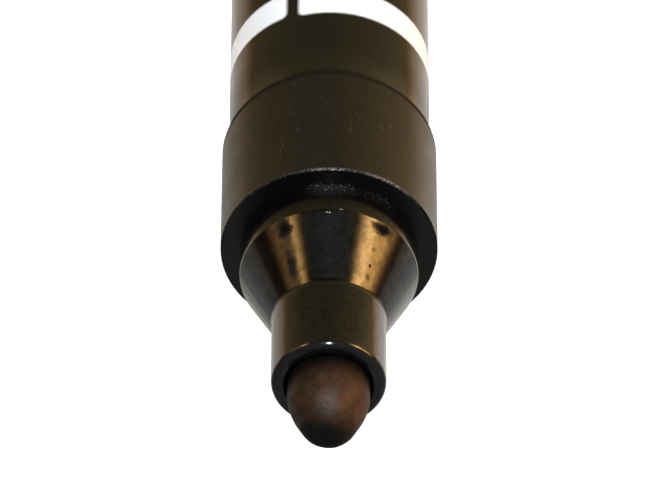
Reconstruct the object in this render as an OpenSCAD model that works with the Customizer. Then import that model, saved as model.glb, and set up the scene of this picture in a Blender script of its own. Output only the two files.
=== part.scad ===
// Permanent marker with a bullet nib, standing on its posted cap, nib up.
// The axis is +Z and the origin is the middle of the cap's flat end.

/* [Barrel] */
// Outside diameter of the bare barrel tube
barrel_diameter = 14.86; // [12:0.02:20]
// Length of the barrel tube
barrel_length = 83.7; // [60:0.1:120]
// Wall thickness of the barrel tube
barrel_wall = 1.1; // [0.8:0.05:1.5]
// Length over which the front end of the barrel draws in
neck_length = 5; // [1:0.1:8]
// How far the front end draws in, on the radius
neck_draw = 0.45; // [0.05:0.01:0.5]
// Number of ribs that hold the reservoir off the barrel wall
barrel_rib_count = 6; // [3:1:12]
// Width of each of those ribs
barrel_rib_width = 0.8; // [0.5:0.1:1.5]

/* [Label] */
// Thickness of the printed film round the barrel
label_thickness = 0.08; // [0.05:0.01:0.2]
// Glue line under the film
label_glue = 0.02; // [0.01:0.01:0.05]
// Bare barrel left at each end of the film
label_margin = 0.25; // [0.1:0.05:3]

/* [Collar] */
// Step on the radius from the label up to the collar
collar_step = 0.47; // [0.2:0.01:1]
// Length of the collar that shows
collar_length = 11.1; // [6:0.1:18]
// Width of the flat front face round the cap seat
collar_face = 1.44; // [1:0.02:2]
// Broken front edge of the collar, and of the cap's rim
collar_edge = 0.12; // [0.05:0.01:0.4]
// Length of the bevel at the collar's rear edge, above the label
collar_bevel_length = 0.42; // [0.2:0.02:2]
// Depth of that bevel, on the radius
collar_bevel_depth = 0.1; // [0.05:0.01:0.45]
// Length of the collar's sleeve inside the barrel
sleeve_length = 5; // [3:0.1:8]
// Wall thickness of that sleeve
sleeve_wall = 0.7; // [0.5:0.05:1]

/* [Nib holder] */
// Length of the straight seat that the cap grips
seat_length = 2.75; // [1.5:0.05:6]
// Length of the cone in front of the seat
cone_length = 5.1; // [3:0.1:12]
// Length of the nib tube in front of the cone
tube_length = 6.77; // [4:0.01:12]
// Wall thickness of the nib tube
tube_wall = 1.02; // [0.7:0.02:1.4]
// Rounding of the front edge of the nib tube
lip_round = 0.55; // [0.2:0.05:0.65]
// Rounding of the mouth's inner edge
mouth_round = 0.2; // [0.1:0.05:0.3]
// Rounding between the seat and the cone
shoulder_round = 0.5; // [0.2:0.1:2]
// Hollow fillet where the cone runs into the nib tube
tube_fillet = 1; // [0.2:0.1:2]
// Open gap between the nib and the tube's mouth
mouth_gap = 0.12; // [0.1:0.01:0.4]
// Length of the plug inside the collar
plug_length = 12; // [8:0.5:15]
// Wall thickness of that plug
plug_wall = 0.9; // [0.6:0.05:1.2]
// Number of ribs that grip the nib
grip_rib_count = 6; // [3:1:8]
// Width of each grip rib
grip_rib_width = 0.7; // [0.4:0.05:1]
// How far the grip ribs start behind the mouth
grip_recess = 1.3; // [0.5:0.1:3]
// Number of fins that steady the nib in the plug
fin_count = 4; // [3:1:6]
// Thickness of each steadying fin
fin_width = 0.7; // [0.5:0.1:1]
// Length of the steadying fins
fin_length = 7; // [3:0.5:7.5]

/* [Nib] */
// Diameter of the fibre nib
nib_diameter = 6.06; // [4:0.02:7.5]
// Length of the nib in front of its tube
nib_out = 5.43; // [4.5:0.01:8]
// Straight length of the nib in front of its tube
nib_straight = 2.05; // [0.5:0.01:2.2]
// Rounding where the straight length runs into the taper
nib_bend_round = 6; // [1:0.5:8]
// Radius of the rounded writing tip
nib_tip_radius = 2.3; // [1.2:0.05:2.6]
// Depth that the nib reaches into the reservoir
nib_dip = 6; // [3:0.5:20]
// Broken edge at the rear end of the nib
nib_edge = 0.5; // [0.2:0.1:1]

/* [Reservoir] */
// Air gap round the wrapped reservoir
reservoir_air = 0.53; // [0.3:0.01:0.8]
// Thickness of the film wrapped round the fibre
wrap_thickness = 0.08; // [0.05:0.01:0.15]
// Room left at each end of the reservoir
reservoir_end_gap = 0.1; // [0.05:0.05:0.6]

/* [Tail plug] */
// Thickness of the flange that closes the barrel
flange_thickness = 1.6; // [1:0.1:4]
// Length of the plug's sleeve inside the barrel
tail_sleeve = 8; // [4:0.5:15]
// Wall thickness of the sleeve and the post
tail_wall = 1.05; // [0.8:0.05:1.3]
// Broken edge at the end of the post
post_edge = 0.5; // [0.2:0.1:1]

/* [Cap] */
// Thickness of the closed end
cap_end = 1.6; // [1:0.1:3]
// Rounding of the closed end's outer edge
cap_round = 1.2; // [0.4:0.1:1.3]
// Depth of the bore's tight mouth
cap_grip_depth = 3; // [1.5:0.1:6]
// How much the bore opens behind its tight mouth
cap_relief = 0.12; // [0.05:0.01:0.3]
// Height of the boss that carries the inner cap
boss_height = 6; // [3:0.5:10]
// Wall thickness of that boss
boss_wall = 1; // [0.7:0.1:1.4]
// Number of fins that centre the inner cap
cap_fin_count = 6; // [3:1:8]
// Thickness of each of those fins
cap_fin_width = 0.9; // [0.6:0.1:1.4]
// Number of grip flutes round the cap
flute_count = 24; // [12:1:36]
// Radius of each flute
flute_radius = 0.8; // [0.5:0.1:1]
// Depth of each flute
flute_depth = 0.2; // [0.1:0.05:0.4]
// Smooth band between the flutes and the rim
flute_rim_gap = 7; // [3:0.5:12]
// Smooth band between the flutes and the closed end
flute_end_gap = 2.4; // [1.6:0.1:6]

/* [Inner cap] */
// Wall thickness of the sealing cup
inner_wall = 0.9; // [0.6:0.05:1.1]
// Thickness of the floor of the sealing cup
inner_floor = 1.2; // [0.8:0.1:2]
// Room between the nib's tip and that floor when closed
nib_room = 1; // [0.5:0.1:4]
// Distance of the cup's rim from the cone when closed
inner_rim_gap = 0.65; // [0.3:0.05:2]

/* [Fits] */
// Radial gap of a pressed joint
press_gap = 0.02; // [0.01:0.01:0.05]
// Radial gap between the cap and its seat
cap_gap = 0.04; // [0.02:0.01:0.1]
// Gap between the posted cap and the tail flange
rim_gap = 0.1; // [0.05:0.05:1]
// Height of the bead that snaps into the barrel
bead_height = 0.14; // [0.08:0.01:0.2]
// Distance of that bead from the end of its sleeve
bead_from_end = 1.6; // [1:0.1:2]

/* [Hidden] */
$fn = 96;
// overrun of a cutting shape past the face it cuts
over = 0.5;
// rise and fall of a snap bead for each unit of its height
bead_slope = 2;
// lead-in at the end of a pressed sleeve
lead = 0.3;

// radii, from the barrel outwards and inwards
barrel_r = barrel_diameter / 2;
barrel_bore_r = barrel_r - barrel_wall;
label_in_r = barrel_r + label_glue;
label_r = label_in_r + label_thickness;
collar_r = label_r + collar_step;
seat_r = collar_r - collar_face;
sleeve_r = barrel_bore_r - press_gap;
collar_bore_r = sleeve_r - sleeve_wall;
plug_r = collar_bore_r - press_gap;
plug_bore_r = plug_r - plug_wall;
wrap_r = barrel_bore_r - reservoir_air;
reservoir_r = wrap_r - wrap_thickness - press_gap;
post_bore_r = sleeve_r - tail_wall;

// radii of the nib and what goes round it
nib_r = nib_diameter / 2;
grip_r = nib_r + press_gap;
mouth_r = nib_r + mouth_gap;
tube_r = mouth_r + tube_wall;
inner_bore_r = tube_r + cap_gap;
inner_r = inner_bore_r + inner_wall;
cap_bore_r = seat_r + cap_gap;
boss_r = inner_bore_r - press_gap;

// lengths measured from the collar's front face
cone_end = seat_length + cone_length;
mouth_out = cone_end + tube_length;
tip_out = mouth_out + nib_out;

// lengths inside the cap, measured from its rim
inner_rim_depth = cone_end + inner_rim_gap;
inner_floor_depth = tip_out + nib_room;
boss_top_depth = inner_floor_depth + inner_floor + reservoir_end_gap;
post_length = inner_rim_depth - inner_rim_gap;
cap_length = boss_top_depth + boss_height + cap_end;

// heights from the closed end of the cap upwards
flange_z = cap_length + rim_gap;
barrel_z = flange_z + flange_thickness;
collar_z = barrel_z + barrel_length;
face_z = collar_z + collar_length;
sleeve_z = collar_z - sleeve_length;
tail_top_z = barrel_z + tail_sleeve;
reservoir_z = tail_top_z + reservoir_end_gap;
reservoir_top_z = sleeve_z - reservoir_end_gap;
nib_z = reservoir_top_z - nib_dip;
tip_z = face_z + tip_out;

body_black = "#26221c";
gloss_black = "#141414";
satin_black = "#39342c";
fibre_brown = "#3a2c24";
fibre_white = "#d9d4c8";

// Half profile of the barrel's outside at a given radius: straight, then drawn in along one large arc
module barrel_outline(r, z_from, z_to) {
    neck_z = collar_z - neck_length;
    arc_r = (pow(neck_length, 2) + pow(neck_draw, 2)) / (2 * neck_draw);
    intersection() {
        translate([0, z_from]) square([r, z_to - z_from]);
        union() {
            translate([0, z_from]) square([r, neck_z - z_from]);
            translate([r - arc_r, neck_z]) circle(r = arc_r, $fn = 720);
        }
    }
}

// Profile of a snap bead that stands out from radius r, with its crest at height z
module bead_profile(r, z, height) {
    polygon([
        [r - over, z - bead_slope * (height + over)],
        [r + height, z],
        [r - over, z + bead_slope * (height + over)]
    ]);
}

// Flat bars of a given width spread round the axis, from radius r_in out to r_out
module spokes(count, width, r_in, r_out, z_from, z_to) {
    for (i = [0 : count - 1])
        rotate([0, 0, i * 360 / count])
            translate([r_in, -width / 2, z_from])
                cube([r_out - r_in, width, z_to - z_from]);
}

module barrel() {
    rib_r = wrap_r + press_gap;
    rib_root_r = barrel_bore_r + barrel_wall / 2;
    groove_height = bead_height + press_gap;
    color(body_black) {
        rotate_extrude()
            difference() {
                barrel_outline(barrel_r, barrel_z, collar_z);
                translate([0, barrel_z - over]) square([barrel_bore_r, barrel_length + 2 * over]);
                bead_profile(barrel_bore_r, sleeve_z + bead_from_end, groove_height);
                bead_profile(barrel_bore_r, tail_top_z - bead_from_end, groove_height);
            }
        spokes(barrel_rib_count, barrel_rib_width, rib_r, rib_root_r, reservoir_z, reservoir_top_z);
    }
}

module label_sleeve() {
    label_from = barrel_z + label_margin;
    label_to = collar_z - label_margin;
    color(gloss_black)
        rotate_extrude()
            difference() {
                barrel_outline(label_r, label_from, label_to);
                barrel_outline(label_in_r, label_from - over, label_to + over);
            }
}

module front_collar() {
    color(satin_black)
        rotate_extrude()
            difference() {
                union() {
                    polygon([
                        [0, sleeve_z],
                        [sleeve_r - lead, sleeve_z],
                        [sleeve_r, sleeve_z + lead],
                        [sleeve_r, collar_z],
                        [collar_r - collar_bevel_depth, collar_z],
                        [collar_r, collar_z + collar_bevel_length],
                        [collar_r, face_z - collar_edge],
                        [collar_r - collar_edge, face_z],
                        [0, face_z]
                    ]);
                    bead_profile(sleeve_r, sleeve_z + bead_from_end, bead_height);
                }
                translate([0, sleeve_z - over])
                    square([collar_bore_r, sleeve_length + collar_length + 2 * over]);
            }
}

// Outside of the nib holder: plug, cap seat, rounded shoulder, cone, fillet and round-edged tube
module holder_outline() {
    shoulder_z = face_z + seat_length;
    tube_z = face_z + cone_end;
    mouth_z = face_z + mouth_out;
    cone_angle = atan2(seat_r - tube_r, cone_length);
    tangent = shoulder_round * tan(cone_angle / 2);
    fillet_reach = tube_fillet * tan(cone_angle / 2);
    polygon([
        [0, face_z - plug_length],
        [plug_r - lead, face_z - plug_length],
        [plug_r, face_z - plug_length + lead],
        [plug_r, face_z],
        [seat_r, face_z],
        [seat_r, shoulder_z - tangent],
        [seat_r - tangent * sin(cone_angle), shoulder_z + tangent * cos(cone_angle)],
        [tube_r, tube_z],
        [tube_r, mouth_z - lip_round],
        [tube_r - lip_round, mouth_z],
        [0, mouth_z]
    ]);
    translate([seat_r - shoulder_round, shoulder_z - tangent]) circle(r = shoulder_round);
    translate([tube_r - lip_round, mouth_z - lip_round]) circle(r = lip_round);
    difference() {
        polygon([
            [tube_r - tube_wall / 2, tube_z],
            [tube_r + fillet_reach * sin(cone_angle), tube_z - fillet_reach * cos(cone_angle)],
            [tube_r, tube_z + fillet_reach]
        ]);
        translate([tube_r + tube_fillet, tube_z + fillet_reach]) circle(r = tube_fillet);
    }
}

// Hollow of the nib holder: wide behind, tapered under the cone, straight in the tube, rounded mouth
module holder_hollow() {
    mouth_z = face_z + mouth_out;
    polygon([
        [0, face_z - plug_length - over],
        [plug_bore_r, face_z - plug_length - over],
        [plug_bore_r, face_z],
        [mouth_r, face_z + cone_length],
        [mouth_r, mouth_z + over],
        [0, mouth_z + over]
    ]);
    difference() {
        translate([0, mouth_z - mouth_round]) square([mouth_r + mouth_round, mouth_round + over]);
        translate([mouth_r + mouth_round, mouth_z - mouth_round]) circle(r = mouth_round);
    }
}

module nib_holder() {
    grip_from = face_z + cone_length;
    grip_to = face_z + mouth_out - grip_recess;
    fin_from = face_z - plug_length;
    color(gloss_black) {
        rotate_extrude()
            difference() {
                holder_outline();
                holder_hollow();
            }
        spokes(grip_rib_count, grip_rib_width, grip_r, mouth_r + tube_wall / 2, grip_from, grip_to);
        spokes(fin_count, fin_width, grip_r, plug_bore_r + plug_wall / 2, fin_from, fin_from + fin_length);
    }
}

// The nib's taper is the line from the end of its straight length that touches the round tip
module nib() {
    taper_z = face_z + mouth_out + nib_straight;
    centre_z = tip_z - nib_tip_radius;
    reach = norm([nib_r, centre_z - taper_z]);
    slope = asin(nib_tip_radius / reach) - atan2(nib_r, centre_z - taper_z);
    touch = sqrt(pow(reach, 2) - pow(nib_tip_radius, 2));
    bend = nib_bend_round * tan(-slope / 2);
    color(fibre_brown)
        rotate_extrude()
            intersection() {
                translate([0, nib_z]) square([nib_r, tip_z - nib_z]);
                union() {
                    polygon([
                        [0, nib_z],
                        [nib_r - nib_edge, nib_z],
                        [nib_r, nib_z + nib_edge],
                        [nib_r, taper_z - bend],
                        [nib_r + bend * sin(slope), taper_z + bend * cos(slope)],
                        [nib_r + touch * sin(slope), taper_z + touch * cos(slope)],
                        [0, centre_z]
                    ]);
                    translate([nib_r - nib_bend_round, taper_z - bend]) circle(r = nib_bend_round);
                    translate([0, centre_z]) circle(r = nib_tip_radius);
                }
            }
}

module ink_reservoir() {
    pocket_r = nib_r + press_gap;
    pocket_z = nib_z - press_gap;
    color(fibre_white)
        difference() {
            translate([0, 0, reservoir_z])
                cylinder(r = reservoir_r, h = reservoir_top_z - reservoir_z);
            translate([0, 0, pocket_z])
                cylinder(r = pocket_r, h = reservoir_top_z - pocket_z + over);
        }
}

module reservoir_wrap() {
    color("gainsboro")
        translate([0, 0, reservoir_z])
            linear_extrude(reservoir_top_z - reservoir_z)
                difference() {
                    circle(r = wrap_r);
                    circle(r = reservoir_r + press_gap);
                }
}

module tail_plug() {
    post_z = flange_z - post_length;
    color(body_black)
        rotate_extrude()
            difference() {
                union() {
                    polygon([
                        [0, post_z],
                        [seat_r - post_edge, post_z],
                        [seat_r, post_z + post_edge],
                        [seat_r, flange_z],
                        [barrel_r, flange_z],
                        [barrel_r, barrel_z],
                        [sleeve_r, barrel_z],
                        [sleeve_r, tail_top_z - lead],
                        [sleeve_r - lead, tail_top_z],
                        [0, tail_top_z]
                    ]);
                    bead_profile(sleeve_r, tail_top_z - bead_from_end, bead_height);
                }
                translate([0, post_z + tail_wall])
                    square([post_bore_r, tail_top_z - post_z]);
            }
}

// Round-bottomed grip flutes, evenly spread round the cap
module flutes() {
    for (i = [0 : flute_count - 1])
        rotate([0, 0, i * 360 / flute_count])
            translate([collar_r + flute_radius - flute_depth, 0, flute_end_gap])
                cylinder(r = flute_radius, h = cap_length - flute_rim_gap - flute_end_gap, $fn = 24);
}

module cap() {
    fin_top = cap_length - inner_floor_depth;
    relief_r = cap_bore_r + cap_relief;
    color(body_black) {
        difference() {
            rotate_extrude()
                difference() {
                    union() {
                        square([collar_r - cap_round, cap_length]);
                        translate([0, cap_round]) square([collar_r, cap_length - cap_round - collar_edge]);
                        translate([collar_r - cap_round, cap_round]) circle(r = cap_round);
                        polygon([
                            [0, cap_length - cap_round],
                            [collar_r, cap_length - cap_round],
                            [collar_r, cap_length - collar_edge],
                            [collar_r - collar_edge, cap_length],
                            [0, cap_length]
                        ]);
                    }
                    translate([0, cap_end]) square([relief_r, cap_length - cap_end - cap_grip_depth]);
                    translate([0, cap_end]) square([cap_bore_r, cap_length]);
                }
            flutes();
        }
        translate([0, 0, cap_end - over])
            linear_extrude(boss_height + over)
                difference() {
                    circle(r = boss_r);
                    circle(r = boss_r - boss_wall);
                }
        spokes(cap_fin_count, cap_fin_width, inner_r + press_gap, relief_r + over, cap_end - over, fin_top);
    }
}

module inner_cap() {
    rim_z = cap_length - inner_rim_depth;
    floor_z = cap_length - inner_floor_depth;
    color(fibre_white)
        rotate_extrude()
            difference() {
                translate([0, cap_end]) square([inner_r, rim_z - cap_end]);
                translate([0, floor_z]) square([inner_bore_r, rim_z - floor_z + over]);
                translate([0, cap_end - over])
                    square([inner_bore_r, floor_z - inner_floor - cap_end + over]);
                polygon([
                    [0, rim_z - lead],
                    [inner_bore_r, rim_z - lead],
                    [inner_bore_r + lead + over, rim_z + over],
                    [0, rim_z + over]
                ]);
            }
}

barrel();
label_sleeve();
front_collar();
nib_holder();
nib();
ink_reservoir();
reservoir_wrap();
tail_plug();
cap();
inner_cap();
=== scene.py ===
import math

import bmesh
import bpy
from mathutils import Matrix, Vector, noise


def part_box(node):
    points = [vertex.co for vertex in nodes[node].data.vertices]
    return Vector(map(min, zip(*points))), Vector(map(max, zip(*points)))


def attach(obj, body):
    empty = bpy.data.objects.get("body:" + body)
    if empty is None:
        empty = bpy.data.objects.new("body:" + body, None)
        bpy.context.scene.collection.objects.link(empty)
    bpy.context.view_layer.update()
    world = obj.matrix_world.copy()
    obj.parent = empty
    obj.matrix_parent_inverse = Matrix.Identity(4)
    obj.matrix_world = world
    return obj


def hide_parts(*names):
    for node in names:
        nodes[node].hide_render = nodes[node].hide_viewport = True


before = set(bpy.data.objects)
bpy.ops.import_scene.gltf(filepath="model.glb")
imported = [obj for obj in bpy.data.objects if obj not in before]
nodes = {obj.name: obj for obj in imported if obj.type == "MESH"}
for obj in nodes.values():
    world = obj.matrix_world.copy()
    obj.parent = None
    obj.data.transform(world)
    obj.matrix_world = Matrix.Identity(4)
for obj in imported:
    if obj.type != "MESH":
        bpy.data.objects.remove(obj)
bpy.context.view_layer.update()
mm = 0.001

# heights and radii that everything is set out from, in metres
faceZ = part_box("front_collar")[1].z        # flat front face of the collar
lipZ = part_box("nib_holder")[1].z           # mouth of the nib tube
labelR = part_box("label_sleeve")[1].x
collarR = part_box("front_collar")[1].x
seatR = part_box("nib_holder")[1].x
nibFoot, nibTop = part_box("nib")
nibR = nibTop.x
faceMiddle = Vector((0, 0, faceZ))
print("frame loaded, collar face at %.2f mm" % (faceZ / mm))


def hexColour(text):
    parts = [int(text[i:i + 2], 16) / 255 for i in (1, 3, 5)]
    return [c / 12.92 if c <= 0.04045 else ((c + 0.055) / 1.055) ** 2.4 for c in parts] + [1.0]


def patternScale(size):
    return 1.0 / (size * mm)        # texture scale that gives features of this many millimetres


def socketOf(sockets, name=None):
    if isinstance(name, int):
        return sockets[name]
    return next(s for s in sockets if s.enabled and name in (None, s.name))        # first one in use


def plug(tree, node, inputs):
    for name, value in inputs.items():
        socket = socketOf(node.inputs, name)
        if isinstance(value, bpy.types.Node):
            value = socketOf(value.outputs)
        if isinstance(value, bpy.types.NodeSocket):
            tree.links.new(value, socket)
        else:
            socket.default_value = value


def addNode(tree, kind, inputs=None, stops=None, **settings):
    node = tree.nodes.new("ShaderNode" + kind)
    for name, value in settings.items():
        setattr(node, name, value)
    plug(tree, node, inputs or {})
    if stops:
        marks = node.color_ramp.elements
        marks.remove(marks[1])
        for i, (place, colour) in enumerate(stops):
            mark = marks.new(place) if i else marks[0]
            mark.position = place
            mark.color = hexColour(colour)
    return node


def emptyMaterial(name):
    material = bpy.data.materials.new(name)
    material.use_nodes = True
    material.node_tree.nodes.clear()
    return material, material.node_tree


def newMaterial(name):
    material, tree = emptyMaterial(name)
    shader = addNode(tree, "BsdfPrincipled")
    addNode(tree, "OutputMaterial", {"Surface": shader})
    place = addNode(tree, "TexCoord").outputs["Object"]
    return material, tree, shader, place


def dress(obj, material):
    obj.data.materials.clear()
    obj.data.materials.append(material)


# camera: the lens looks at the nib end from 42 degrees off the marker's axis, tail away from the viewer
view = {
    "offAxis": 41.83,                # degrees between the axis and the line to the lens
    "distance": 478.2,               # mm from the collar's face to the lens
    "focal": 350.6, "sensor": 36,    # mm
    "faceRight": -0.328,             # mm, where the collar's face sits from the picture's middle
    "faceDown": 0.075,
    "roll": 0.13,                    # degrees
    "nearest": 0.01, "farthest": 50,         # m, what the camera draws
}


def makeCamera():
    off = math.radians(view["offAxis"])
    forward = Vector((0, math.sin(off), -math.cos(off)))
    up = Vector((0, -math.cos(off), -math.sin(off)))
    right = forward.cross(up)
    aside = right * view["faceRight"] - up * view["faceDown"]
    eye = faceMiddle - (aside + forward * view["distance"]) * mm
    data = bpy.data.cameras.new("photoCamera")
    data.sensor_width = view["sensor"]
    data.lens = view["focal"]
    data.clip_start = view["nearest"]
    data.clip_end = view["farthest"]
    camera = bpy.data.objects.new("photoCamera", data)
    level = Matrix((right, up, -forward)).transposed()
    turn = level @ Matrix.Rotation(math.radians(view["roll"]), 3, "Z")
    camera.matrix_world = Matrix.Translation(eye) @ turn.to_4x4()
    bpy.context.scene.collection.objects.link(camera)
    bpy.context.scene.camera = camera


makeCamera()
print("camera placed")


# stage: pale floor and soft lamps; the room and the cards are hidden from the lens and show in the gloss
stage = {
    "floorColour": "#f2f2f0",
    "floorSize": 4.0,            # m, half width
    "floorLift": 0.66,           # added to the floor's own light where it is the background
    "roomSize": 3.2,             # m, radius of the dim room
    "roomSteps": 48, "roomRings": 12,
    # horizon to top
    "roomTones": [(0.0, "#868b7e"), (0.35, "#7b7e78"), (0.75, "#8d918b"), (1.0, "#6c6e6a")],
    "roomRight": 1.5, "roomLeft": 0.75,         # strength
}

# lamps: degrees from the lens side (left is plus), degrees up, m from the collar's face; size in m
lamps = {
    "softKey": {"spot": (20, 55, 0.9), "wide": 0.5, "tall": 0.5, "power": 2.4,
                "colour": "#f4f6ff", "gloss": False},
    "coolStrip": {"spot": (0, 27, 0.45), "wide": 0.045, "tall": 0.2, "power": 1.8,
                  "colour": "#e2eaff", "gloss": True},
    "coolFill": {"spot": (20, 24, 0.6), "wide": 0.2, "tall": 0.2, "power": 2.2,
                 "colour": "#eef2ff", "gloss": False},
    "warmFill": {"spot": (-55, -2, 0.6), "wide": 0.3, "tall": 0.12, "power": 2.3,
                 "colour": "#ffeede", "gloss": False},
}

# table round the marker, seen in the gloss: brown in front, white paper behind
tableTop = {
    "size": 2.5, "lift": 0.001,             # m, half width and height above the floor
    # mm behind the marker
    "bands": [(-10, "#9c8a60"), (12, "#a4804f"), (35, "#f3cea6"), (60, "#ffedd7"), (80, "#fff8ee"),
              (96, "#e2ded6"), (108, "#f4f2ee"), (115, "#f2e8d0"), (124, "#f2e8d0"), (140, "#b6b4b0")],
    "right": 2.1, "left": 1.30,             # strength at the right and from the middle to the left
    "rightFrom": 110,                       # mm to the right where that strength is reached
    "clearFrom": 40, "clearTo": 85,         # mm from the axis over which the foot's shadow clears
    "footShade": 0.03,                      # light that is left in that shadow
    # mm from the axis: the marker's own shade, then paper, dimmer beyond
    "reach": [(0, "#cfcfcf"), (122, "#cfcfcf"), (160, "#ffffff"), (195, "#ffffff"), (240, "#bcbcbc"),
              (380, "#bcbcbc"), (450, "#8f8f8f"), (700, "#5a5a5a")],
    "dimSpot": (200, 90), "dimFrom": 30, "dimTo": 95, "dim": 0.45,        # mm, shade to both sides behind
    "sideFrom": 112, "sideTo": 145, "side": 1.7,        # mm to both sides where the paper is brighter
}

# two warm lamps beside the table, as tones by degrees from the lens side
warmLamps = {
    "low": -24, "high": 6,                  # degrees below and above the collar's face
    "distance": 0.5,                        # m
    "steps": 12,
    "patch": 45, "uneven": 0.2,             # mm, brighter and dimmer patches, and by how much
    "right": {"strength": 23.0,
              "tones": [(-88, "#000000"), (-82, "#402a18"), (-76, "#7a5630"), (-69, "#bd8c4c"),
                        (-60, "#c89552"), (-52, "#ffc77c"), (-45, "#edb972"), (-41, "#c99c60"),
                        (-38, "#7d6038"), (-34, "#40301c"), (-30, "#000000")]},
    "left": {"strength": 10.5,
             "tones": [(30, "#000000"), (35, "#6a5230"), (40, "#deae6c"), (43, "#ffc77c"),
                       (47, "#ac8450"), (51, "#755836"), (65, "#775a36"), (70, "#583f26"),
                       (77, "#000000")]},
}


def polar(azimuth, elevation, distance):
    a, e = math.radians(azimuth), math.radians(elevation)
    return Vector((math.sin(a) * math.cos(e), -math.cos(a) * math.cos(e), math.sin(e))) * distance


def addStageMesh(name, points, faces):
    mesh = bpy.data.meshes.new(name)
    mesh.from_pydata(points, [], faces)
    card = bpy.data.objects.new(name, mesh)
    bpy.context.scene.collection.objects.link(card)
    material, tree = emptyMaterial(name)
    dress(card, material)
    return card, tree


def addStageSquare(name, size, height):
    corners = [(-size, -size, height), (size, -size, height), (size, size, height), (-size, size, height)]
    return addStageMesh(name, corners, [(0, 1, 2, 3)])


def finishCard(card, tree, tone, strength, lightsAll=False):
    glow = addNode(tree, "Emission", {"Color": tone, "Strength": strength})
    addNode(tree, "OutputMaterial", {"Surface": glow})
    card.visible_camera = False
    card.visible_shadow = False
    card.visible_diffuse = lightsAll        # otherwise it only shows in the gloss


def toneRound(tree, place, tones):        # tones by degrees from the lens side
    turned = addNode(tree, "Mapping", {"Vector": place, "Rotation": (0, 0, math.pi / 2)})
    angle = addNode(tree, "TexGradient", {"Vector": turned}, gradient_type="RADIAL")
    stops = [(0.5 + degrees / 360, colour) for degrees, colour in tones]
    return addNode(tree, "ValToRGB", {"Fac": angle}, stops=stops)


def toneAlong(tree, length, tones):        # tones by millimetres
    first, last = tones[0][0], tones[-1][0]
    share = addNode(tree, "MapRange", {"Value": length, "From Min": first * mm, "From Max": last * mm})
    stops = [((level - first) / (last - first), colour) for level, colour in tones]
    return addNode(tree, "ValToRGB", {"Fac": share}, stops=stops)


def backgroundRays(tree):
    ray = addNode(tree, "LightPath").outputs
    seen = addNode(tree, "Math", {0: ray["Is Camera Ray"], 1: ray["Is Glossy Ray"]}, operation="MAXIMUM")
    return addNode(tree, "Math", {0: seen, 1: ray["Is Transmission Ray"]}, operation="MAXIMUM")


def makeFloor():
    tree = addStageSquare("floor", stage["floorSize"], 0)[1]
    paper = addNode(tree, "BsdfDiffuse", {"Color": hexColour(stage["floorColour"])})
    lift = addNode(tree, "Math", {0: backgroundRays(tree), 1: stage["floorLift"]}, operation="MULTIPLY")
    glow = addNode(tree, "Emission", {"Strength": lift})
    both = addNode(tree, "AddShader", {0: paper, 1: glow})
    addNode(tree, "OutputMaterial", {"Surface": both})


def makeBackground():
    world = bpy.data.worlds.new("whiteBackground")
    bpy.context.scene.world = world
    world.use_nodes = True
    tree = world.node_tree
    tree.nodes.clear()
    white = addNode(tree, "Background", {"Color": (1, 1, 1, 1), "Strength": backgroundRays(tree)})
    addNode(tree, "OutputWorld", {"Surface": white})


# dim walls and ceiling, so that the black plastic stays black
def makeRoom():
    size, steps, rings = stage["roomSize"], stage["roomSteps"], stage["roomRings"]
    points = [polar(360 * i / steps, 90 * j / rings, size) for j in range(rings + 1) for i in range(steps)]
    faces = []
    for low in range(0, rings * steps, steps):
        high = low + steps
        for i in range(steps):
            after = (i + 1) % steps
            faces.append((low + i, low + after, high + after, high + i))
    room, tree = addStageMesh("dimRoom", points, faces)
    place = addNode(tree, "TexCoord").outputs["Object"]
    part = addNode(tree, "SeparateXYZ", {0: place}).outputs
    height = addNode(tree, "Math", {0: part["Z"], 1: size}, operation="DIVIDE")
    tone = addNode(tree, "ValToRGB", {"Fac": height}, stops=stage["roomTones"])
    aside = addNode(tree, "MapRange", {"Value": part["X"], "From Min": -size, "From Max": size,
                                       "To Min": stage["roomRight"], "To Max": stage["roomLeft"]})
    finishCard(room, tree, tone, aside, lightsAll=True)


def tableStrength(tree, place, part):
    aside = addNode(tree, "MapRange", {"Value": part["X"], "From Min": -tableTop["rightFrom"] * mm,
                                       "From Max": 0.0, "To Min": tableTop["right"],
                                       "To Max": tableTop["left"]})
    # shade round the marker
    reach = addNode(tree, "VectorMath", {0: place}, operation="LENGTH")
    clear = addNode(tree, "MapRange", {"Value": reach, "From Min": tableTop["clearFrom"] * mm,
                                       "From Max": tableTop["clearTo"] * mm,
                                       "To Min": tableTop["footShade"]}, interpolation_type="SMOOTHSTEP")
    fade = toneAlong(tree, reach, tableTop["reach"])
    lit = addNode(tree, "Math", {0: clear, 1: fade}, operation="MULTIPLY")
    # brighter and dimmer places to both sides
    off = addNode(tree, "Math", {0: part["X"]}, operation="ABSOLUTE")
    sides = addNode(tree, "MapRange", {"Value": off, "From Min": tableTop["sideFrom"] * mm,
                                       "From Max": tableTop["sideTo"] * mm,
                                       "To Min": 1.0, "To Max": tableTop["side"]})
    spot = addNode(tree, "CombineXYZ", {0: off, 1: part["Y"]})
    dimX, dimY = tableTop["dimSpot"]
    apart = addNode(tree, "VectorMath", {0: spot, 1: (dimX * mm, dimY * mm, 0)}, operation="DISTANCE")
    shade = addNode(tree, "MapRange", {"Value": apart, "From Min": tableTop["dimFrom"] * mm,
                                       "From Max": tableTop["dimTo"] * mm, "To Min": tableTop["dim"]})
    both = addNode(tree, "Math", {0: sides, 1: shade}, operation="MULTIPLY")
    across = addNode(tree, "Math", {0: aside, 1: both}, operation="MULTIPLY")
    return addNode(tree, "Math", {0: lit, 1: across}, operation="MULTIPLY")


def makeTableTop():
    card, tree = addStageSquare("tableTop", tableTop["size"], tableTop["lift"])
    place = addNode(tree, "TexCoord").outputs["Object"]
    part = addNode(tree, "SeparateXYZ", {0: place}).outputs
    tone = toneAlong(tree, part["Y"], tableTop["bands"])
    finishCard(card, tree, tone, tableStrength(tree, place, part))


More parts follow.
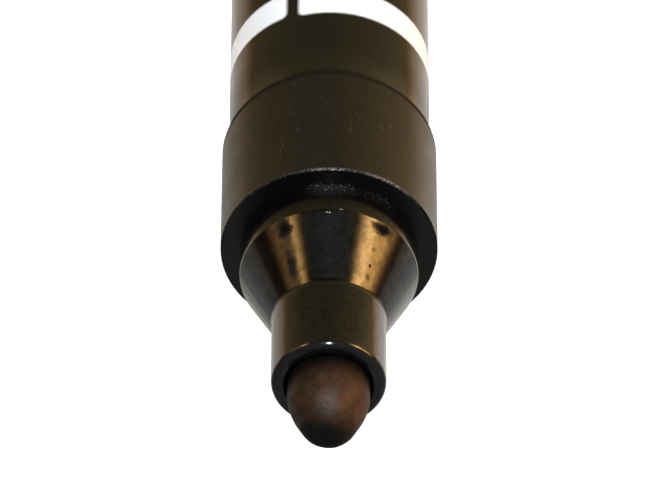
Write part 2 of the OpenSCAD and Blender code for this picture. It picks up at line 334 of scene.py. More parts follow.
def makeWarmLamps():
    steps = warmLamps["steps"]
    for side in ("right", "left"):
        lamp = warmLamps[side]
        first, last = lamp["tones"][0][0], lamp["tones"][-1][0]
        points = [faceMiddle + polar(first + (last - first) * i / steps, level, warmLamps["distance"])
                  for level in (warmLamps["low"], warmLamps["high"]) for i in range(steps + 1)]
        faces = [(i, i + 1, steps + 2 + i, steps + 1 + i) for i in range(steps)]
        card, tree = addStageMesh("warmLamp" + side.capitalize(), points, faces)
        place = addNode(tree, "TexCoord").outputs["Object"]
        patches = addNode(tree, "TexNoise", {"Vector": place, "Scale": patternScale(warmLamps["patch"]),
                                             "Detail": 2})
        strength = addNode(tree, "MapRange", {"Value": patches, "From Min": 0.3, "From Max": 0.7,
                                              "To Min": (1 - warmLamps["uneven"]) * lamp["strength"],
                                              "To Max": (1 + warmLamps["uneven"]) * lamp["strength"]})
        finishCard(card, tree, toneRound(tree, place, lamp["tones"]), strength)


def makeLights():
    for name, lamp in lamps.items():
        data = bpy.data.lights.new(name, "AREA")
        data.shape = "RECTANGLE"
        data.size = lamp["wide"]
        data.size_y = lamp["tall"]
        data.energy = lamp["power"]
        data.color = hexColour(lamp["colour"])[:3]
        light = bpy.data.objects.new(name, data)
        light.location = faceMiddle + polar(*lamp["spot"])
        light.rotation_euler = (faceMiddle - light.location).to_track_quat("-Z", "Y").to_euler()
        light.visible_glossy = lamp["gloss"]        # a lamp lights either the gloss or all the rest
        light.visible_diffuse = not lamp["gloss"]
        bpy.context.scene.collection.objects.link(light)


makeFloor()
makeBackground()
makeRoom()
makeTableTop()
makeWarmLamps()
makeLights()
print("stage set")


# dust caught in the corner round the cap seat, each speck drawn twice its size so that it shows
dust = {
    "colour": "#807d75",
    "apart": 0.16,                          # mm between specks
    "film": 0.05,                           # thin even dust under the specks on the seat
    "seatFrom": 1.3, "seatTo": 0.2,         # mm in front of the collar's face, none to full
    "faceFrom": 0.35, "faceTo": 0.08,       # mm outside the seat, none to full
    # how much, by degrees from the lens side
    "round": [(-52, "#000000"), (-40, "#a0a0a0"), (-26, "#a0a0a0"), (-19, "#707070"), (-11, "#ffffff"),
              (8, "#ffffff"), (17, "#303030"), (60, "#101010"), (75, "#000000")],
}


def dustSpecks(tree, place, film=0.0):
    specks = addNode(tree, "TexVoronoi", {"Vector": place, "Scale": patternScale(dust["apart"])}).outputs
    speck = addNode(tree, "MapRange", {"Value": specks["Distance"], "From Min": 0.4, "From Max": 0.15})
    chosen = addNode(tree, "SeparateXYZ", {0: specks["Color"]})
    few = addNode(tree, "MapRange", {"Value": chosen, "From Min": 0.5, "From Max": 0.9, "To Min": 0.1})
    some = addNode(tree, "Math", {0: speck, 1: few}, operation="MULTIPLY")
    some = addNode(tree, "Math", {0: some, 1: film}, operation="MAXIMUM")
    return addNode(tree, "Math", {0: some, 1: toneRound(tree, place, dust["round"])}, operation="MULTIPLY")


# black mouldings: polypropylene from a spark-eroded mould, satin with a fine even grain and light scuffs
polypropylene = {
    "ior": 1.49,
    "cloud": 2.5,                           # mm, slow change of tone and gloss
    "smoother": 0.04, "rougher": 0.05,      # how far the roughness strays
    "scuffWidth": 0.14, "scuffTone": "#3a352c",       # mm
}
collarFinish = {"tone": "#070605", "paleTone": "#0b0907", "rough": 0.39, "grain": 0.16, "grainDepth": 0.03,
                "scuff": 0.8}       # grain in mm
capFinish = {"tone": "#0b0a09", "paleTone": "#12100d", "rough": 0.34, "grain": 0.20, "grainDepth": 0.02,
             "scuff": 0.8}
barrelFinish = {"tone": "#0a0908", "paleTone": "#0f0d0b", "rough": 0.30, "grain": 0.24, "grainDepth": 0.015,
                "scuff": 0.3}


def sparkGrainPolypropylene(name, finish, marksAndPaintedLight=None):
    material, tree, shader, place = newMaterial(name)
    clouds = addNode(tree, "TexNoise", {"Vector": place, "Scale": patternScale(polypropylene["cloud"]),
                                        "Detail": 3})
    tone = addNode(tree, "Mix", {"Factor": clouds, "A": hexColour(finish["tone"]),
                                 "B": hexColour(finish["paleTone"])}, data_type="RGBA")
    # short scuffs from handling, as long as a few grains
    slant = addNode(tree, "Mapping", {"Vector": place, "Rotation": (0.5, 0.3, 0.6), "Scale": (1, 1, 0.15)})
    streaks = addNode(tree, "TexNoise", {"Vector": slant, "Scale": patternScale(polypropylene["scuffWidth"]),
                                         "Detail": 1})
    scuff = addNode(tree, "MapRange", {"Value": streaks, "From Min": 0.69, "From Max": 0.80,
                                       "To Max": finish["scuff"]})
    tone = addNode(tree, "Mix", {"Factor": scuff, "A": tone, "B": hexColour(polypropylene["scuffTone"])},
                   data_type="RGBA")
    grain = addNode(tree, "TexNoise", {"Vector": place, "Scale": patternScale(finish["grain"]), "Detail": 3})
    bump = addNode(tree, "Bump", {"Height": grain, "Strength": 0.6, "Distance": finish["grainDepth"] * mm})
    rough = addNode(tree, "MapRange", {"Value": clouds, "From Min": 0.3, "From Max": 0.7,
                                       "To Min": finish["rough"] - polypropylene["smoother"],
                                       "To Max": finish["rough"] + polypropylene["rougher"]})
    plug(tree, shader, {"Base Color": tone, "Roughness": rough, "Normal": bump, "IOR": polypropylene["ior"]})
    if marksAndPaintedLight:
        plug(tree, shader, marksAndPaintedLight(tree, place, tone, rough))
    return material


# marks on the collar, a painted highlight on its front corner and painted shade on its face: mm behind its
# front face, tones by degrees from the lens side
collarMarks = {
    "face": 0.03,                             # what still counts as the flat face
    "faceShadeTone": "#050505", "faceRough": 0.32,       # face painted a shade darker, and wiped smooth by the cap's rim
    "edge": 0.22, "edgeHighlightTone": "#858278",      # painted highlight on the front corner
    # how strong the painted highlight is, by degrees from the lens side
    "edgeHighlightRound": [(-60, "#000000"), (-48, "#606060"), (-38, "#b8b8b8"), (-25, "#b8b8b8"), (-17, "#505050"),
                  (-9, "#707070"), (9, "#707070"), (16, "#505050"), (34, "#505050"), (48, "#404040"),
                  (66, "#606060"), (76, "#606060"), (85, "#000000")],
    "rim": 0.14, "rimRough": 0.26,            # front edge that handling has rubbed bright in specks
    "rimDull": 0.04, "rimBright": 0.42,
    "speck": 0.17,                            # mm, specks of the painted highlight on the corner and of gloss on the edge
    "gloss": 0.46,
    "grimeFrom": 10.25, "grimeTo": 10.75,     # dull grime towards the bevel behind the collar
    "grimeRough": 0.9, "grimeGloss": 0.18,
}


def collarMarksAndPaintedLight(tree, place, tone, rough):
    marks = collarMarks
    height = addNode(tree, "SeparateXYZ", {0: place}).outputs["Z"]
    flat = addNode(tree, "VectorMath", {0: place, 1: (1, 1, 0)}, operation="MULTIPLY")
    reach = addNode(tree, "VectorMath", {0: flat}, operation="LENGTH")
    # painted shade: the flat face darker than the rest of the collar
    face = addNode(tree, "Math", {0: height, 1: faceZ - marks["face"] * mm}, operation="GREATER_THAN")
    tone = addNode(tree, "Mix", {"Factor": face, "A": tone, "B": hexColour(marks["faceShadeTone"])},
                   data_type="RGBA")
    # painted highlight on the front corner, broken into specks
    front = addNode(tree, "Math", {0: height, 1: faceZ - marks["edge"] * mm}, operation="GREATER_THAN")
    edge = addNode(tree, "Math", {0: front, 1: face}, operation="SUBTRACT")
    rubbedAndHighlightSpecks = addNode(tree, "TexNoise", {"Vector": place, "Scale": patternScale(marks["speck"]), "Detail": 2})
    uneven = addNode(tree, "MapRange", {"Value": rubbedAndHighlightSpecks, "From Min": 0.38, "From Max": 0.58,
                                        "To Min": 0.25, "To Max": 1.2})
    paintedHighlight = addNode(tree, "Math", {0: edge, 1: uneven}, operation="MULTIPLY")
    amount = toneRound(tree, place, marks["edgeHighlightRound"])
    paintedHighlight = addNode(tree, "Math", {0: paintedHighlight, 1: amount}, operation="MULTIPLY")
    tone = addNode(tree, "Mix", {"Factor": paintedHighlight, "A": tone, "B": hexColour(marks["edgeHighlightTone"])},
                   data_type="RGBA")
    # dust on the face beside the seat
    corner = addNode(tree, "MapRange", {"Value": reach, "From Min": seatR + dust["faceFrom"] * mm,
                                        "From Max": seatR + dust["faceTo"] * mm})
    dusty = addNode(tree, "Math", {0: corner, 1: dustSpecks(tree, place)}, operation="MULTIPLY")
    tone = addNode(tree, "Mix", {"Factor": dusty, "A": tone, "B": hexColour(dust["colour"])},
                   data_type="RGBA")
    # grime, wiped face and bright front edge
    dull = addNode(tree, "MapRange", {"Value": height, "From Min": faceZ - marks["grimeFrom"] * mm,
                                      "From Max": faceZ - marks["grimeTo"] * mm})
    rough = addNode(tree, "Mix", {"Factor": dull, "A": rough, "B": marks["grimeRough"]})
    gloss = addNode(tree, "MapRange", {"Value": dull, "To Min": marks["gloss"],
                                       "To Max": marks["grimeGloss"]})
    rough = addNode(tree, "Mix", {"Factor": face, "A": rough, "B": marks["faceRough"]})
    outer = addNode(tree, "Math", {0: reach, 1: collarR - marks["rim"] * mm}, operation="GREATER_THAN")
    ahead = addNode(tree, "Math", {0: height, 1: faceZ - marks["rim"] * mm}, operation="GREATER_THAN")
    rim = addNode(tree, "Math", {0: outer, 1: ahead}, operation="MULTIPLY")
    specks = addNode(tree, "TexNoise", {"Vector": place, "Scale": patternScale(marks["speck"]), "Detail": 1})
    shine = addNode(tree, "MapRange", {"Value": specks, "From Min": 0.42, "From Max": 0.62,
                                       "To Min": marks["rimDull"], "To Max": marks["rimBright"]})
    rough = addNode(tree, "Mix", {"Factor": rim, "A": rough, "B": marks["rimRough"]})
    gloss = addNode(tree, "Mix", {"Factor": rim, "A": gloss, "B": shine})
    return {"Base Color": tone, "Roughness": rough, "Specular IOR Level": gloss}


# nib holder: polypropylene from a polished mould, mirror-like black, rubbed at the mouth and painted paler
# there as light, dry ink on it
holderFinish = {
    # the paler tone at the mouth is painted light
    "tone": "#040404", "lipPaintedLightTone": "#101010",
    "rough": 0.13, "haze": 0.05, "hazeSize": 1.3,        # mm
    "lipRough": 0.12, "lipFrom": 0.75, "lipTo": 0.3,     # mm behind the mouth, rubbed by the inner cap and painted paler as light
    "seatRough": 0.15, "seatGloss": 0.3,
    "seatTo": 1.8, "seatFade": 0.4,           # mm in front of the collar where the cap rubs
    "wave": 0.9, "waveDepth": 0.006,          # mm, slow unevenness of the moulding
    "gloss": 0.5,
    "bloom": 0.45, "bloomDull": 0.4,          # mm, blotches of a thin ink film, how far it dulls the gloss
    "inkAndMouthShade": "#050403", "inkRough": 0.9, "inkGloss": 0.04,
    "ragged": 0.5,                            # mm, torn edges of the smears
    # dry ink smears: degrees from the lens side, mm from the collar's face, half width and half length
    # in mm, how dense
    "smears": [(31.5, 3.5, 0.50, 0.66, 0.9), (33.0, 6.2, 0.30, 1.1, 0.62), (-38.5, 3.2, 0.80, 0.46, 0.9),
               (-36.6, 6.1, 0.10, 0.14, 0.7), (-37.2, 6.9, 0.22, 0.26, 0.35),
               (-36.0, 4.9, 0.16, 0.25, 0.25)],
    # bits of lint on the shoulder, set out in the same way
    "lint": [(1.4, 2.98, 0.045, 0.04, 0.9), (-0.3, 3.0, 0.05, 0.04, 0.9), (-8.0, 2.72, 0.13, 0.05, 0.3)],
    "lintTone": "#b4b4ae",
    "coneFrom": 2.75, "coneTo": 7.85, "tubeRadius": 4.17,       # mm from the collar's face, mm
}


def coneSpot(angle, height):
    share = (height - holderFinish["coneFrom"]) / (holderFinish["coneTo"] - holderFinish["coneFrom"])
    radius = seatR + (holderFinish["tubeRadius"] * mm - seatR) * share
    return polar(angle, 0, radius) + Vector((0, 0, faceZ + height * mm))


def raggedSpots(tree, place, spots):
    ragged = addNode(tree, "TexNoise", {"Vector": place, "Scale": patternScale(holderFinish["ragged"]),
                                        "Detail": 4})
    shift = addNode(tree, "MapRange", {"Value": ragged, "From Min": 0.25, "From Max": 0.75,
                                       "To Min": 0.65, "To Max": 1.35})
    cover = None
    for angle, level, halfWidth, halfLength, dense in spots:
        middle = coneSpot(angle, level)
        slope = (coneSpot(angle, level + 1) - middle).normalized()
        side = Vector((math.cos(math.radians(angle)), math.sin(math.radians(angle)), 0))
        turn = Matrix((side, slope.cross(side), slope)).transposed().to_euler()
        size = (halfWidth * mm, 1.0, halfLength * mm)
        local = addNode(tree, "Mapping", {"Vector": place, "Location": middle, "Rotation": turn,
                                          "Scale": size}, vector_type="TEXTURE")
        away = addNode(tree, "VectorMath", {0: local}, operation="LENGTH")
        torn = addNode(tree, "Math", {0: away, 1: shift}, operation="MULTIPLY")
        patch = addNode(tree, "MapRange", {"Value": torn, "From Min": 1.5, "From Max": 0.45,
                                           "To Max": dense})
        cover = addNode(tree, "Math", {0: cover, 1: patch}, operation="MAXIMUM") if cover else patch
    return cover


def polishedPolypropylene(finish):
    material, tree, shader, place = newMaterial("polishedPolypropylene")
    height = addNode(tree, "SeparateXYZ", {0: place}).outputs["Z"]
    lip = addNode(tree, "MapRange", {"Value": height, "From Min": lipZ - finish["lipFrom"] * mm,
                                     "From Max": lipZ - finish["lipTo"] * mm},
                  interpolation_type="SMOOTHSTEP")
    seatEnd = finish["seatTo"] + finish["seatFade"]
    seat = addNode(tree, "MapRange", {"Value": height, "From Min": faceZ + seatEnd * mm,
                                      "From Max": faceZ + finish["seatTo"] * mm})
    smear = raggedSpots(tree, place, finish["smears"])
    # black, painted paler at the mouth as light, ink, dust beside the collar, lint
    tone = addNode(tree, "Mix", {"Factor": lip, "A": hexColour(finish["tone"]),
                                 "B": hexColour(finish["lipPaintedLightTone"])}, data_type="RGBA")
    tone = addNode(tree, "Mix", {"Factor": smear, "A": tone, "B": hexColour(finish["inkAndMouthShade"])},
                   data_type="RGBA")
    corner = addNode(tree, "MapRange", {"Value": height, "From Min": faceZ + dust["seatFrom"] * mm,
                                        "From Max": faceZ + dust["seatTo"] * mm})
    specks = dustSpecks(tree, place, dust["film"])
    dusty = addNode(tree, "Math", {0: corner, 1: specks}, operation="MULTIPLY")
    tone = addNode(tree, "Mix", {"Factor": dusty, "A": tone, "B": hexColour(dust["colour"])},
                   data_type="RGBA")
    lint = raggedSpots(tree, place, finish["lint"])
    tone = addNode(tree, "Mix", {"Factor": lint, "A": tone, "B": hexColour(finish["lintTone"])},
                   data_type="RGBA")
    # polish, rubbed at both ends and dulled by the ink
    haze = addNode(tree, "TexNoise", {"Vector": place, "Scale": patternScale(finish["hazeSize"]),
                                      "Detail": 3})
    rough = addNode(tree, "MapRange", {"Value": haze, "From Min": 0.35, "From Max": 0.7,
                                       "To Min": finish["rough"],
                                       "To Max": finish["rough"] + finish["haze"]})
    rough = addNode(tree, "Mix", {"Factor": lip, "A": rough, "B": finish["lipRough"]})
    rough = addNode(tree, "Mix", {"Factor": seat, "A": rough, "B": finish["seatRough"]})
    rough = addNode(tree, "Mix", {"Factor": smear, "A": rough, "B": finish["inkRough"]})
    blotches = addNode(tree, "TexNoise", {"Vector": place, "Scale": patternScale(finish["bloom"]),
                                          "Detail": 3})
    gloss = addNode(tree, "MapRange", {"Value": blotches, "From Min": 0.4, "From Max": 0.7,
                                       "To Min": finish["gloss"],
                                       "To Max": finish["gloss"] * (1 - finish["bloomDull"])})
    gloss = addNode(tree, "Mix", {"Factor": seat, "A": gloss, "B": finish["seatGloss"]})
    gloss = addNode(tree, "Mix", {"Factor": smear, "A": gloss, "B": finish["inkGloss"]})
    wave = addNode(tree, "TexNoise", {"Vector": place, "Scale": patternScale(finish["wave"]), "Detail": 3})
    bump = addNode(tree, "Bump", {"Height": wave, "Strength": 1.0, "Distance": finish["waveDepth"] * mm})
    plug(tree, shader, {"Base Color": tone, "Roughness": rough, "Normal": bump,
                        "Specular IOR Level": gloss, "IOR": polypropylene["ior"]})
    return material


# label: polyester film, gravure printed black with one white ring and varnished, smooth and glossy
labelPrint = {
    "black": "#0a0907", "white": "#f6f6f4",
    "ringFrom": 18.43, "ringTo": 21.2,        # mm behind the collar's face
    "gap": 1.0, "gapAngle": 21.7,             # mm of bare black in the ring, degrees from the lens side
    "skew": 0.3,                              # mm that the film's two ends miss each other by
    "corner": 0.5, "soft": 0.2,               # mm, rounded ends and spread of the ink
    "smooth": 0.11, "rubbedAndHighlightSpecks": 0.23,           # roughness between and in the fine marks along the barrel
    "mark": 0.3,                              # mm
    "peel": 1.1, "peelDepth": 0.003,          # mm, unevenness of the varnish
    "gloss": 0.5, "grimeGloss": 0.25,
    "grimeFrom": 12.3, "grimeTo": 12.0,       # mm behind the collar's face, dirt beside the collar
    "ior": 1.5,
}


def whiteRing(tree, part, inkAndMouthShade):
    back = addNode(tree, "Math", {0: part["Y"], 1: -1.0}, operation="MULTIPLY")
    angle = addNode(tree, "Math", {0: part["X"], 1: back}, operation="ARCTAN2")
    aside = addNode(tree, "Math", {0: math.radians(inkAndMouthShade["gapAngle"]), 1: angle}, operation="SUBTRACT")
    turned = addNode(tree, "Math", {0: aside, 1: 2 * math.pi}, operation="FLOORED_MODULO")
    apart = addNode(tree, "Math", {0: aside, 1: math.pi}, operation="PINGPONG")
    wide = addNode(tree, "Math", {0: apart, 1: labelR / mm}, operation="MULTIPLY")
    middle = faceZ / mm - (inkAndMouthShade["ringFrom"] + inkAndMouthShade["ringTo"]) / 2
    half = (inkAndMouthShade["ringTo"] - inkAndMouthShade["ringFrom"]) / 2
    level = addNode(tree, "Math", {0: part["Z"], 1: 1 / mm, 2: -middle}, operation="MULTIPLY_ADD")
    skew = inkAndMouthShade["skew"] / (2 * math.pi)
    skewed = addNode(tree, "Math", {0: turned, 1: skew, 2: level}, operation="MULTIPLY_ADD")
    off = addNode(tree, "Math", {0: skewed}, operation="ABSOLUTE")
    # how far a point lies short of the rounded ends and sides of the ring, mm
    shortEnd = addNode(tree, "Math", {0: inkAndMouthShade["corner"] + inkAndMouthShade["gap"] / 2, 1: wide}, operation="SUBTRACT")
    shortSide = addNode(tree, "Math", {0: off, 1: half - inkAndMouthShade["corner"]}, operation="SUBTRACT")
    pair = addNode(tree, "CombineXYZ", {0: shortEnd, 1: shortSide})
    outside = addNode(tree, "VectorMath", {0: pair, 1: (0, 0, 0)}, operation="MAXIMUM")
    reach = addNode(tree, "VectorMath", {0: outside}, operation="LENGTH")
    return addNode(tree, "MapRange", {"Value": reach, "From Min": inkAndMouthShade["corner"] + inkAndMouthShade["soft"],
                                      "From Max": inkAndMouthShade["corner"] - inkAndMouthShade["soft"]},
                   interpolation_type="SMOOTHSTEP")


def printedPolyesterFilm(inkAndMouthShade):
    material, tree, shader, place = newMaterial("printedPolyesterFilm")
    part = addNode(tree, "SeparateXYZ", {0: place}).outputs
    tone = addNode(tree, "Mix", {"Factor": whiteRing(tree, part, inkAndMouthShade), "A": hexColour(inkAndMouthShade["black"]),
                                 "B": hexColour(inkAndMouthShade["white"])}, data_type="RGBA")
    lengthwise = addNode(tree, "Mapping", {"Vector": place, "Scale": (1, 1, 0.06)})
    marks = addNode(tree, "TexNoise", {"Vector": lengthwise, "Scale": patternScale(inkAndMouthShade["mark"]),
                                       "Detail": 3})
    rough = addNode(tree, "MapRange", {"Value": marks, "From Min": 0.3, "From Max": 0.75,
                                       "To Min": inkAndMouthShade["smooth"], "To Max": inkAndMouthShade["rubbedAndHighlightSpecks"]})
    peel = addNode(tree, "TexNoise", {"Vector": place, "Scale": patternScale(inkAndMouthShade["peel"]), "Detail": 1})
    bump = addNode(tree, "Bump", {"Height": peel, "Strength": 1.0, "Distance": inkAndMouthShade["peelDepth"] * mm})
    gloss = addNode(tree, "MapRange", {"Value": part["Z"], "From Min": faceZ - inkAndMouthShade["grimeFrom"] * mm,
                                       "From Max": faceZ - inkAndMouthShade["grimeTo"] * mm,
                                       "To Min": inkAndMouthShade["gloss"], "To Max": inkAndMouthShade["grimeGloss"]})
    plug(tree, shader, {"Base Color": tone, "Roughness": rough, "Normal": bump,
                        "Specular IOR Level": gloss, "IOR": inkAndMouthShade["ior"]})
    return material


# inner cap: milky polyethylene, waxy, lets some light in
seal = {
    "tone": "#e6e4dc", "dullTone": "#d6d3c8",
    "cloud": 2.0,                             # mm
    "smooth": 0.35, "rough": 0.5,
    "glow": 0.4, "glowDepth": 0.8,            # share of light that goes in, and mm that it gets to
    "glowTint": (1.0, 0.9, 0.8),
    "ior": 1.51,
}


def naturalPolyethylene():
    material, tree, shader, place = newMaterial("naturalPolyethylene")
    clouds = addNode(tree, "TexNoise", {"Vector": place, "Scale": patternScale(seal["cloud"]), "Detail": 3})
    tone = addNode(tree, "Mix", {"Factor": clouds, "A": hexColour(seal["tone"]),
                                 "B": hexColour(seal["dullTone"])}, data_type="RGBA")
    rough = addNode(tree, "MapRange", {"Value": clouds, "To Min": seal["smooth"], "To Max": seal["rough"]})
    plug(tree, shader, {"Base Color": tone, "Roughness": rough, "IOR": seal["ior"],
                        "Subsurface Weight": seal["glow"], "Subsurface Radius": seal["glowTint"],
                        "Subsurface Scale": seal["glowDepth"] * mm})
    return material


# reservoir: carded polyester wick, soft and full of ink, its strands drawn wider than they are
wick = {
    "tone": "#17130f", "paleTone": "#2c241b",
    "strand": 0.15, "strandDepth": 0.05,      # mm
    "rough": 0.7, "ior": 1.55,
}


def cardedPolyesterFibre():
    material, tree, shader, place = newMaterial("cardedPolyesterFibre")
    lengthwise = addNode(tree, "Mapping", {"Vector": place, "Scale": (1, 1, 0.05)})
    strands = addNode(tree, "TexNoise", {"Vector": lengthwise, "Scale": patternScale(wick["strand"]),
                                         "Detail": 3})
    tone = addNode(tree, "Mix", {"Factor": strands, "A": hexColour(wick["tone"]),
                                 "B": hexColour(wick["paleTone"])}, data_type="RGBA")
    bump = addNode(tree, "Bump", {"Height": strands, "Strength": 1.0, "Distance": wick["strandDepth"] * mm})
    plug(tree, shader, {"Base Color": tone, "Normal": bump, "Roughness": wick["rough"], "IOR": wick["ior"]})
    return material


# film round the wick: cast polypropylene, clear and slightly crinkled
wrap = {
    "tone": "#f2f2ee", "clear": 0.9,
    "crease": 3.0, "creaseDepth": 0.05,       # mm
    "smooth": 0.05, "rough": 0.2,
}


def castPolypropyleneFilm():
    material, tree, shader, place = newMaterial("castPolypropyleneFilm")
    creases = addNode(tree, "TexNoise", {"Vector": place, "Scale": patternScale(wrap["crease"]),
                                         "Detail": 2})
    bump = addNode(tree, "Bump", {"Height": creases, "Strength": 1.0, "Distance": wrap["creaseDepth"] * mm})
    rough = addNode(tree, "MapRange", {"Value": creases, "To Min": wrap["smooth"], "To Max": wrap["rough"]})
    plug(tree, shader, {"Base Color": hexColour(wrap["tone"]), "Roughness": rough, "Normal": bump,
                        "Transmission Weight": wrap["clear"], "IOR": polypropylene["ior"]})
    return material


# nib: polyester fibres bonded into a rod and ground to a bullet, stained brown-black by the ink
nib = {
    "straight": 2.05, "tipRadius": 2.3,       # mm, straight part in front of the mouth, round of the tip
    "bendRound": 6.0, "rearEdge": 0.5,        # mm, soft bend into the taper, bevel at the foot
    "sides": 360, "step": 0.07,               # mm between rings where it shows
    "hidden": 0.8,                            # mm behind the mouth where those rings begin
    "lump": 0.7, "lumpDepth": 0.03,           # mm, soft dents
    "fibre": 0.10, "fibreDepth": 0.014,       # mm, single fibres, drawn about four times as wide as they are
    "fibreLength": 16,                        # how many times longer than wide
    "brown": "#241c12", "paleBrown": "#4a3122", "inkAndMouthShade": "#080807", "dryInk": "#131311",
    "marksAndPaintedLight": "#554b48",                        # painted highlight: greyer patch on the lens side
    "blot": 0.9,                              # mm, stains
    "inkAndShadeBand": 0.45, "inkAndShadeFade": 2.5,          # mm above the mouth: dark ink and painted shade, and where they end
    "inkTip": 2.0, "inkSoft": 0.9,            # mm, radius of the inked tip and its fade
    "inkAside": (0.4, 0.5),                   # mm that it lies off the axis
    "bandRagged": 0.5, "tipRagged": 1.6,      # mm that the edges of the two stray
    "highlightSpot": (-2.2, 3.9),                  # mm, patch of the painted highlight: off the axis, above the mouth
    "highlightSize": 1.25, "highlightCore": 0.3,        # mm, its radius and where it is full
    "paintedLightAside": 0.095,                       # how much paler the right side is painted, as light from that side, for each mm
    "streak": 0.6,                            # how much single fibres show beside the blots
    "rough": 0.5, "shine": 0.05, "ior": 1.55,
}


def nibOutline():
    step, tip, bendRound, rear = nib["step"], nib["tipRadius"], nib["bendRound"], nib["rearEdge"]
    lift = lipZ / mm
    top = nibTop.z / mm
    radius = nibR / mm
    foot = nibFoot.z / mm
    bend = lift + nib["straight"]
    centre = top - tip
    reach = math.hypot(radius, centre - bend)
    slope = math.asin(tip / reach) - math.atan2(radius, centre - bend)      # taper, from the axis
    touch = math.sqrt(reach ** 2 - tip ** 2)
    outline = [(0.0, foot), (radius - rear, foot), (radius, foot + rear), (radius, lift - nib["hidden"])]
    arc = bendRound * math.tan(-slope / 2)
    arcSteps = round(-slope * bendRound / step)
    turns = [slope * i / arcSteps for i in range(arcSteps + 1)]
    ends = [(radius - bendRound * (1 - math.cos(a)), bend - arc - bendRound * math.sin(a)) for a in turns]
    for end in ends + [(radius + touch * math.sin(slope), bend + touch * math.cos(slope))]:
        start = outline[-1]
        count = max(1, round(math.dist(start, end) / step))
        outline += [(start[0] + (end[0] - start[0]) * i / count, start[1] + (end[1] - start[1]) * i / count)
                    for i in range(1, count + 1)]
    begin = math.atan2(outline[-1][1] - centre, outline[-1][0])
    count = round((math.pi / 2 - begin) * tip / step)
    for i in range(1, count + 1):
        turn = begin + (math.pi / 2 - begin) * i / count
        outline.append((tip * math.cos(turn), centre + tip * math.sin(turn)))
    return outline


def fibreDepth(spot):
    lump = noise.noise(spot / nib["lump"])
    along = Vector((spot.x, spot.y, spot.z / nib["fibreLength"])) / nib["fibre"]
    strand = noise.noise(along)
    return nib["lumpDepth"] * (0.5 - 0.5 * lump) + nib["fibreDepth"] * (0.5 - 0.5 * strand)


def makeNib():
    build = bmesh.new()
    outline = nibOutline()
    sides = nib["sides"]
    onAxis = 1e-4        # mm
    rings = []
    for k, (radius, level) in enumerate(outline):
        if radius < onAxis:
            rings.append([build.verts.new(Vector((0, 0, level)) * mm)])
            continue
        before, after = outline[max(k - 1, 0)], outline[min(k + 1, len(outline) - 1)]
        outward = Vector((after[1] - before[1], before[0] - after[0])).normalized()
        ring = []
        for i in range(sides):
            turn = 2 * math.pi * i / sides
            spot = Vector((radius * math.cos(turn), radius * math.sin(turn), level))
            push = Vector((outward.x * math.cos(turn), outward.x * math.sin(turn), outward.y))
            ring.append(build.verts.new((spot - push * fibreDepth(spot)) * mm))
        rings.append(ring)
    for low, high in zip(rings, rings[1:]):
        for i in range(sides):
            j = (i + 1) % sides
            corners = [low[i % len(low)], low[j % len(low)], high[j % len(high)], high[i % len(high)]]
            build.faces.new(list(dict.fromkeys(corners)))
    bmesh.ops.recalc_face_normals(build, faces=build.faces)
    mesh = bpy.data.meshes.new("fibreNib")
    build.to_mesh(mesh)
    build.free()
    mesh.shade_smooth()
    piece = bpy.data.objects.new("fibreNib", mesh)
    bpy.context.scene.collection.objects.link(piece)
    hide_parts("nib")
    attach(piece, "pen")
    return piece


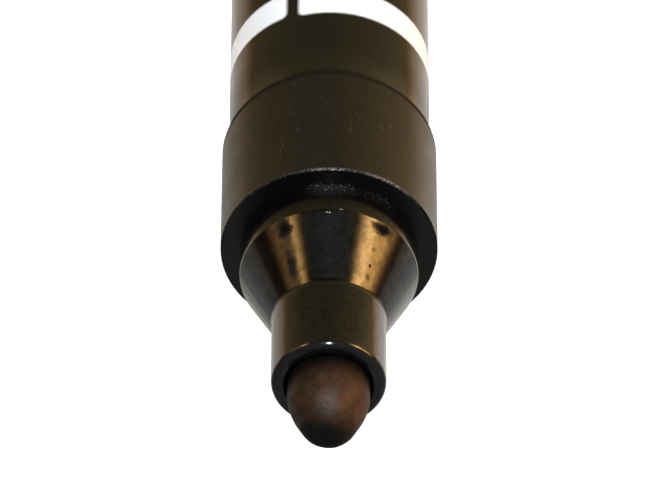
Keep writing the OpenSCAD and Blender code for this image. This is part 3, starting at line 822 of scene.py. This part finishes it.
def bondedPolyesterFibre():
    material, tree, shader, place = newMaterial("bondedPolyesterFibre")
    part = addNode(tree, "SeparateXYZ", {0: place}).outputs
    along = addNode(tree, "Mapping", {"Vector": place, "Scale": (1, 1, 0.06)})
    strands = addNode(tree, "TexNoise", {"Vector": along, "Scale": patternScale(nib["fibre"]), "Detail": 2})
    blots = addNode(tree, "TexNoise", {"Vector": place, "Scale": patternScale(nib["blot"]), "Detail": 4})
    mixed = addNode(tree, "Math", {0: strands, 1: nib["streak"], 2: blots}, operation="MULTIPLY_ADD")
    # painted light: the right side of the nib paler
    paler = -nib["paintedLightAside"] / mm
    sided = addNode(tree, "Math", {0: part["X"], 1: paler, 2: mixed}, operation="MULTIPLY_ADD")
    share = addNode(tree, "MapRange", {"Value": sided, "From Min": 0.5, "From Max": 1.13})
    tone = addNode(tree, "Mix", {"Factor": share, "A": hexColour(nib["brown"]),
                                 "B": hexColour(nib["paleBrown"])}, data_type="RGBA")
    # ink and painted shade in a ring at the mouth, and the inked tip, both with a ragged edge
    stray = nib["bandRagged"] * mm
    ragged = addNode(tree, "Math", {0: blots, 1: stray, 2: -stray / 2}, operation="MULTIPLY_ADD")
    level = addNode(tree, "Math", {0: part["Z"], 1: ragged}, operation="ADD")
    mouthInkAndShade = addNode(tree, "MapRange", {"Value": level, "From Min": lipZ + nib["inkAndShadeFade"] * mm,
                                      "From Max": lipZ + nib["inkAndShadeBand"] * mm})
    inkX, inkY = nib["inkAside"]
    moved = addNode(tree, "VectorMath", {0: place, 1: (inkX * mm, inkY * mm, 0)}, operation="SUBTRACT")
    flat = addNode(tree, "VectorMath", {0: moved, 1: (1, 1, 0)}, operation="MULTIPLY")
    reach = addNode(tree, "VectorMath", {0: flat}, operation="LENGTH")
    stray = nib["tipRagged"] * mm
    uneven = addNode(tree, "Math", {0: blots, 1: stray, 2: -stray / 2}, operation="MULTIPLY_ADD")
    away = addNode(tree, "Math", {0: reach, 1: uneven}, operation="ADD")
    tip = addNode(tree, "MapRange", {"Value": away, "From Min": (nib["inkTip"] + nib["inkSoft"]) * mm,
                                     "From Max": (nib["inkTip"] - nib["inkSoft"]) * mm},
                  interpolation_type="SMOOTHSTEP")
    # painted highlight: a grey patch on the lens side
    out, up = nib["highlightSpot"]
    apart = addNode(tree, "VectorMath", {0: place, 1: (0, out * mm, lipZ + up * mm)}, operation="DISTANCE")
    near = addNode(tree, "Math", {0: apart, 1: uneven}, operation="ADD")
    paintedHighlight = addNode(tree, "MapRange", {"Value": near, "From Min": nib["highlightSize"] * mm,
                                      "From Max": nib["highlightCore"] * mm})
    mottle = addNode(tree, "MapRange", {"Value": strands, "From Min": 0.35, "From Max": 0.65,
                                        "To Min": 0.3, "To Max": 0.9})
    paintedHighlight = addNode(tree, "Math", {0: paintedHighlight, 1: mottle}, operation="MULTIPLY")
    for cover, colour in ((paintedHighlight, "marksAndPaintedLight"), (tip, "dryInk"), (mouthInkAndShade, "inkAndMouthShade")):
        tone = addNode(tree, "Mix", {"Factor": cover, "A": tone, "B": hexColour(nib[colour])},
                       data_type="RGBA")
    plug(tree, shader, {"Base Color": tone, "Roughness": nib["rough"], "IOR": nib["ior"],
                        "Specular IOR Level": nib["shine"]})
    return material


barrelPlastic = sparkGrainPolypropylene("smoothPolypropylene", barrelFinish)
dress(nodes["barrel"], barrelPlastic)
dress(nodes["tail_plug"], barrelPlastic)
dress(nodes["front_collar"], sparkGrainPolypropylene("sparkGrainPolypropylene", collarFinish, collarMarksAndPaintedLight))
dress(nodes["cap"], sparkGrainPolypropylene("satinPolypropylene", capFinish))
dress(nodes["nib_holder"], polishedPolypropylene(holderFinish))
dress(nodes["label_sleeve"], printedPolyesterFilm(labelPrint))
dress(nodes["inner_cap"], naturalPolyethylene())
dress(nodes["ink_reservoir"], cardedPolyesterFibre())
dress(nodes["reservoir_wrap"], castPolypropyleneFilm())
print("mouldings and films finished")

fibreNib = makeNib()
dress(fibreNib, bondedPolyesterFibre())
print("nib made, %d faces" % len(fibreNib.data.polygons))

bpy.context.scene.view_settings.view_transform = "Standard"
